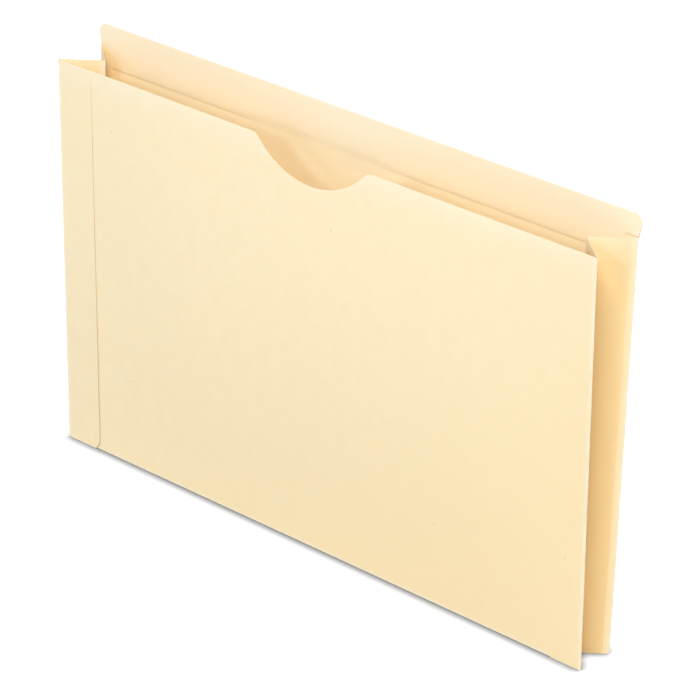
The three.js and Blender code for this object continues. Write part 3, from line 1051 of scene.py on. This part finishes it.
def tab_half(height):
    """Half width of the tab at a height: its sides splay out, and its corners are round."""
    over = height - (BACK_HEIGHT - TAB_CORNER)
    if over <= 0:
        straight = BACK_HEIGHT - TAB_CORNER - FRONT_HEIGHT
        return HALF_WIDTH + TAB_OVERHANG * max(0.0, height - FRONT_HEIGHT) / straight
    return TAB_HALF - TAB_CORNER + math.sqrt(max(0.0, TAB_CORNER ** 2 - min(over, TAB_CORNER) ** 2))


def rows_board(name, heights, half_at, outward, facing, seed, wave, node):
    """A board on the back panel's plane, made of rows that are as wide as half_at says."""
    shares = lines(-TAB_HALF, TAB_HALF, 6 * MM) / TAB_HALF
    points, edge, slack = [], [], []
    for height in heights:
        half = half_at(height)
        for share in shares:
            x = share * half
            points.append(on_back(x, height, outward(x, height)))
            edge.append(0.0 if height < FRONT_HEIGHT else wear(half - abs(x)))
            below_ply = BACK_HEIGHT - PLY_HEIGHT - height
            slack.append(held(HALF_WIDTH - abs(x)) * held(height) * held(below_ply))
    points = np.reshape([tuple(p) for p in points], (len(heights), len(shares), 3))
    board_piece(name, "back", points, facing, edge, slack, outside_manila,
                wave=wave, seed=seed, node=node)


def back_panel():
    heights = [0.7 * MM, 2 * MM, *np.linspace(6 * MM, ROLLS_END - 4 * MM, 36),
               ROLLS_END - 0.02 * MM, ROLLS_END + 0.02 * MM, ROLLS_END + 3 * MM,
               *CORNER_ROWS, TAB_TOP]

    def half_at(height):
        return HALF_WIDTH - SIDE_REACH if height < ROLLS_END else tab_half(height)

    rows_board("back_panel_board", heights, half_at, lambda x, height: BOARD, BACK_OUT,
               8.0, PANEL_WAVE, node="back_panel")


def tab_ply():
    foot = BACK_HEIGHT - PLY_HEIGHT
    shelf = FRONT_HEIGHT + PLY_SHELF
    heights = [foot, *(foot + rise * MM for rise in (0.5, 1.5, 2.5, 3.5, 5)),
               shelf - 3 * MM, shelf - 0.1 * MM, shelf, shelf + 3 * MM, *CORNER_ROWS, TAB_TOP]

    def half_at(height):
        return tab_half(height) if height >= shelf else HALF_WIDTH - PLY_SIDE_INSET

    def outward(x, height):
        thumbed = held(THUMB_OUTER - abs(x - THUMB_PLACE), THUMB_EASE)
        pressed = 1 - held(height - foot, PRESS_RISE + THUMB_RISE * thumbed)
        return -(FLAP_LIFT - (PRESSED + THUMBED * thumbed) * pressed)

    rows_board("tab_ply_board", heights, half_at, outward, -BACK_OUT, 5.0, 0.0, node="tab_ply")


def tab_roll():
    piece = put_in_scene("tab_roll", bpy.data.meshes.new("tab_roll"))
    run_tree(piece, CREASE_TREE, turn=math.pi, radius=TAB_ROLL, first_wing=TAB_WING,
             last_wing=TAB_WING, rows=60, thickness=BOARD, material=outside_manila)
    middle = 0.5 * (BOARD - FLAP_LIFT)
    for vertex in piece.data.vertices:
        local = vertex.co.copy()
        height = BACK_HEIGHT - local.y
        x = (2 * local.z - 1) * tab_half(height)
        vertex.co = on_back(x, height, middle - local.x)
    turn_outside_out(piece)
    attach(piece, "back")


back_panel()
tab_ply()
tab_roll()

# %% [markdown]
# ## Gusset boards
# A half gusset is a flat board between two creases that run together below the jacket, so it is
# narrower at its foot. Its lattice is drawn straight between the two wings that hold it.

# %% Side gusset boards


def side_board(word, half):
    place = {"rear": "back", "front": "front"}[half]
    outer, middle = crease_of(word, place), crease_of(word, "middle")
    normal = normals[word, half]
    is_seam = word == "left" and half == "front"
    gap = reach(*SEAM_WAYS, radius=SEAM_ROLL, wing=0) if is_seam else SIDE_REACH
    points, edge, slack = [], [], []
    heights = lines(0, FRONT_HEIGHT, 7 * MM)
    shares = np.linspace(0, 1, 9)
    for height in heights:
        start, end = at_height(outer, height), at_height(middle, height) - normal * BOARD
        step = (end - start).normalized()
        start, end = start + step * gap, end - step * MIDDLE_REACH
        for share in shares:
            points.append(tuple(start.lerp(end, share) + normal * BOARD))
            edge.append(wear(min(height, FRONT_HEIGHT - height), NARROW_WEAR))
            slack.append(math.sin(math.pi * share) * (0.3 + 0.7 * height / FRONT_HEIGHT))
    points = np.reshape(points, (len(heights), len(shares), 3))
    board_piece(f"{word}_{half}_board", f"{word}_{half}_half", points, normal, edge, slack,
                shaded_gusset_manila, wave=GUSSET_WAVE,
                seed=11.0 + len(word) + len(half), node=f"{word}_gusset_{half}")


for word in SIDES:
    for half in ("rear", "front"):
        side_board(word, half)

# %% Bottom gusset boards and the bottom flap


def bottom_board(half):
    place = {"rear": "back", "front": "front"}[half]
    outer, normal = crease_of("bottom", place), normals["bottom", half]
    start = Vector((0, *outer[0].yz)) + normal * BOARD
    step = leaving(outer, normal, Z)
    gap = BOTTOM_FRONT_WING
    if half == "rear":
        turned = math.sin(BOTTOM_WAYS[0].angle(BOTTOM_WAYS[1]))
        gap = reach(*BOTTOM_WAYS, radius=SEAM_ROLL) - FLAP_LIFT / turned
    shares = lines(-BOTTOM_HALF, BOTTOM_HALF, 8 * MM) / BOTTOM_HALF
    steps = np.linspace(gap, BOTTOM_WIDTH - MIDDLE_REACH, 7)
    points = [tuple(start + step * along + X * share * (BOTTOM_HALF - along))
              for along in steps for share in shares]
    none = [0.0] * len(points)
    points = np.reshape(points, (len(steps), len(shares), 3))
    board_piece(f"bottom_{half}_board", f"bottom_{half}_half", points, normal, none, none,
                shaded_gusset_manila, node=f"bottom_gusset_{half}")


def bottom_flap():
    half = BOTTOM_HALF
    start = BOTTOM_CORNER.z + reach(*BOTTOM_WAYS, radius=SEAM_ROLL)
    free = BOTTOM_FLAP_HEIGHT
    rise = lines(start, free, 1.5 * MM)
    shares = lines(-half, half, 6 * MM) / half
    points, edge, slack = [], [], []
    for height in rise:
        cut = cut_back(free - height)
        lift = FLAP_FREE_LIFT * held(height - free + BOTTOM_LOOSE, BOTTOM_LOOSE)
        for share in shares:
            points.append(tuple(on_back(share * (half - cut), height, BOARD + FLAP_LIFT + lift)))
            edge.append(wear(min(free - height, (1 - abs(share)) * half), NARROW_WEAR))
            slack.append(0.0)
    points = np.reshape(points, (len(rise), len(shares), 3))
    board_piece("bottom_flap_board", "back", points, BACK_OUT, edge, slack,
                outside_manila, node="bottom_glue_flap")


bottom_board("rear")
bottom_board("front")
bottom_flap()

# %% [markdown]
# ## Glue films
# The films of dried glue under the flaps and inside the tab keep their CAD meshes, which are
# already the right thin sheets. They only get the look of dried paste.

# %% Glue films
for name in ("left_flap_glue", "bottom_flap_glue", "tab_ply_glue"):
    film = frame["nodes"][name]
    for slot in film.material_slots:
        slot.material = glue

# %% Sizes of the finished model
seen_box = [list(map(float, corner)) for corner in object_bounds()]
for axis, low, high, was_low, was_high in zip("xyz", *seen_box, *cad_box):
    print(f"{axis}: {(high - low) / MM:.2f} mm, CAD {(was_high - was_low) / MM:.2f} mm")
